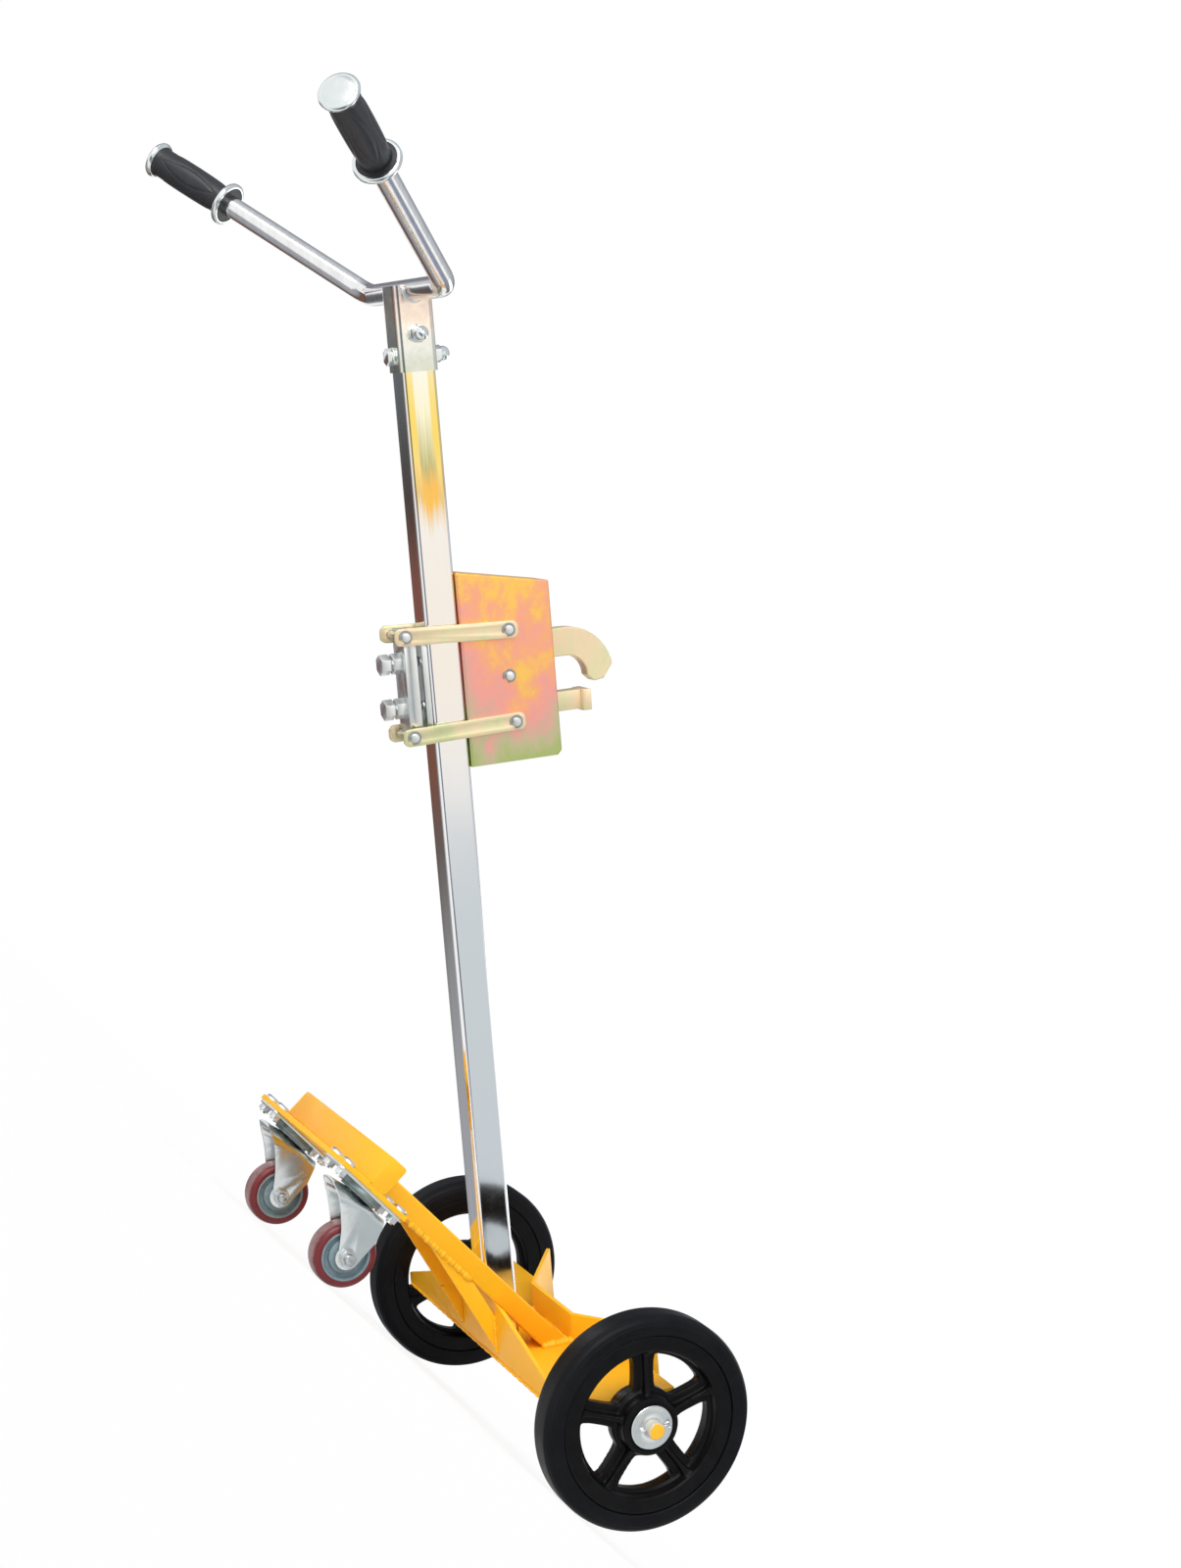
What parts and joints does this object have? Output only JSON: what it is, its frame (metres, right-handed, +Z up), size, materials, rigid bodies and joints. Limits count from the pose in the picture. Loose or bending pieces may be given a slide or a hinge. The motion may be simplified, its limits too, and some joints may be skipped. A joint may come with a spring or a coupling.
{
  "type": "drum truck",
  "caption": "Drum truck with a tall square post on main wheels and rear swivel casters, a bent cradle plate, and a sliding clamp whose beak hooks over a drum's rim.",
  "frame": {"origin": "on the floor, under the middle of the main axle, with the truck parked on all its wheels", "axes": "+X forward towards the load, +Y to the left, +Z up"},
  "size_m": [1.4135, 0.7342, 0.8906],
  "materials": {
    "yellow_paint": "semi-gloss powder coat",
    "chrome": "mirror plate",
    "grip_rubber": "satin",
    "tyre_rubber": "satin",
    "black_casting": "gloss black paint",
    "bright_steel": "bright",
    "blue_zinc": "blue-white zinc plate",
    "yellow_zinc": "yellow zinc plate",
    "silver_zinc": "clear zinc plate",
    "maroon_tread": "satin polyurethane",
    "grey_core": "moulded"
  },
  "bodies": {
    "frame": {"floor_plate": "yellow_paint", "rear_plate": "yellow_paint", "cradle": "yellow_paint", "rail_left": "yellow_paint", "rail_right": "yellow_paint", "brace_bars": "yellow_paint", "caster_beam": "yellow_paint", "beam_end_caps": "yellow_paint", "caster_plate": "yellow_paint", "axle": "yellow_paint", "post": "chrome", "handle_sleeve": "chrome", "handle_bar": "chrome", "grip_rings": "chrome", "grip_caps": "chrome", "sleeve_bolts": "chrome", "acorn_nuts": "chrome", "sleeve_washers": "chrome", "grip_left": "grip_rubber", "grip_right": "grip_rubber", "axle_washers": "bright_steel", "axle_spacers": "bright_steel", "split_pins": "bright_steel", "swivel_races": "bright_steel", "caster_top_plates": "blue_zinc", "caster_bolts": "blue_zinc", "caster_nuts": "blue_zinc", "kingpins": "blue_zinc"},
    "gripper": {"gripper_box": "yellow_zinc", "chin_bar": "yellow_zinc", "chin_pad": "yellow_zinc", "beak_pin": "silver_zinc", "beak_spacers": "silver_zinc", "upper_straps": "yellow_zinc", "lower_straps": "yellow_zinc", "link_pins": "silver_zinc", "pin_clips": "silver_zinc", "clamp_block": "silver_zinc", "lock_nuts": "silver_zinc"},
    "beak_body": {"beak": "yellow_zinc"},
    "pad": {"pressure_plate": "silver_zinc"},
    "upper_screw": {"clamp_screw_upper": "silver_zinc"},
    "lower_screw": {"clamp_screw_lower": "silver_zinc"},
    "wheel_left": {"wheel_hub_left": "black_casting", "tyre_left": "tyre_rubber", "wheel_bearings_left": "bright_steel"},
    "swivel_left": {"caster_fork_left": "blue_zinc", "caster_axle_left": "blue_zinc", "caster_axle_nut_left": "blue_zinc"},
    "roller_left": {"caster_core_left": "grey_core", "caster_tread_left": "maroon_tread"},
    "wheel_right": {"wheel_hub_right": "black_casting", "tyre_right": "tyre_rubber", "wheel_bearings_right": "bright_steel"},
    "swivel_right": {"caster_fork_right": "blue_zinc", "caster_axle_right": "blue_zinc", "caster_axle_nut_right": "blue_zinc"},
    "roller_right": {"caster_core_right": "grey_core", "caster_tread_right": "maroon_tread"}
  },
  "joints": [
    {"name": "wheel_left_spin", "type": "hinge", "parent": "frame", "child": "wheel_left", "pos_m": [0, 0.281, 0.125], "axis": [0, 1, 0], "continuous": true},
    {"name": "caster_left_swivel", "type": "hinge", "parent": "frame", "child": "swivel_left", "pos_m": [-0.374, 0.126, 0.1], "axis": [0, 0, 1], "continuous": true},
    {"name": "caster_left_roll", "type": "hinge", "parent": "swivel_left", "child": "roller_left", "pos_m": [-0.3395, 0.126, 0.0375], "axis": [0, 1, 0], "continuous": true},
    {"name": "wheel_right_spin", "type": "hinge", "parent": "frame", "child": "wheel_right", "pos_m": [0, -0.281, 0.125], "axis": [0, 1, 0], "continuous": true},
    {"name": "caster_right_swivel", "type": "hinge", "parent": "frame", "child": "swivel_right", "pos_m": [-0.374, -0.126, 0.1], "axis": [0, 0, 1], "continuous": true},
    {"name": "caster_right_roll", "type": "hinge", "parent": "swivel_right", "child": "roller_right", "pos_m": [-0.3395, -0.126, 0.0375], "axis": [0, 1, 0], "continuous": true},
    {"name": "gripper_slide", "type": "slide", "parent": "frame", "child": "gripper", "axis": [-0.7793, 0, 0.6266], "range_m": [-0.45, 0.2]},
    {"name": "beak_lift", "type": "hinge", "parent": "gripper", "child": "beak_body", "pos_m": [-0.62451, 0, 0.64893], "axis": [0, -1, 0], "range_deg": [0, 25]},
    {"name": "pad_release", "type": "slide", "parent": "gripper", "child": "pad", "axis": [-0.6266, 0, -0.7793], "range_m": [0, 0.00175]},
    {"name": "upper_screw_turn", "type": "hinge", "parent": "pad", "child": "upper_screw", "pos_m": [-0.71964, 0, 0.57529], "axis": [-0.6266, 0, -0.7793], "range_deg": [0, 360]},
    {"name": "lower_screw_turn", "type": "hinge", "parent": "pad", "child": "lower_screw", "pos_m": [-0.67912, 0, 0.54271], "axis": [-0.6266, 0, -0.7793], "range_deg": [0, 360]}
  ],
  "couplings": [
    {"joint": "upper_screw_turn", "follows": "pad_release", "rad_per_m": 3590.4},
    {"joint": "lower_screw_turn", "follows": "pad_release", "rad_per_m": 3590.4}
  ]
}
